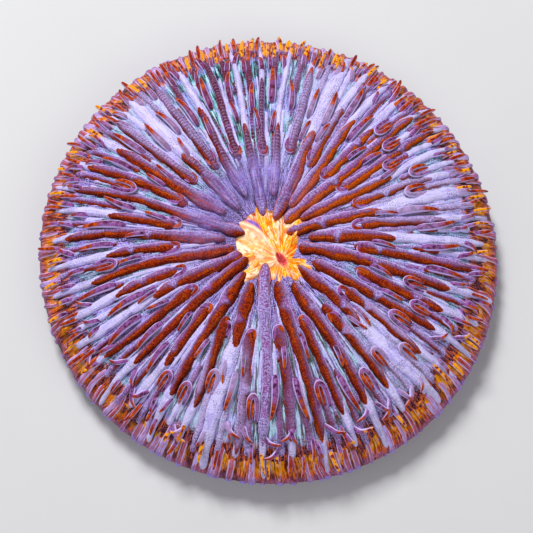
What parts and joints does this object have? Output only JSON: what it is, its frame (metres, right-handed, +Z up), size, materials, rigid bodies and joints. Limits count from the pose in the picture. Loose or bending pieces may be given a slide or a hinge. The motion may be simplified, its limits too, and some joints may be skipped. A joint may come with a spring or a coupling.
{
  "type": "mushroom coral",
  "caption": "Low domed stony coral disc with radial ribs, a folded mouth at its centre, short tentacles in the furrows and a flat foot.",
  "frame": {"origin": "centre of the bounding box, on the ground under the flat foot", "axes": "+Z up out of the mouth; -Y towards the viewer of the picture; +X to the viewer's right"},
  "size_m": [0.0996, 0.0984, 0.021],
  "materials": {
    "coral_tissue": "damp living skin over limestone: mauve and lavender ribs with rust flanks, teal furrows, golden rim and mouth"
  },
  "bodies": {
    "root": {"coral": "coral_tissue"}
  },
  "joints": []
}
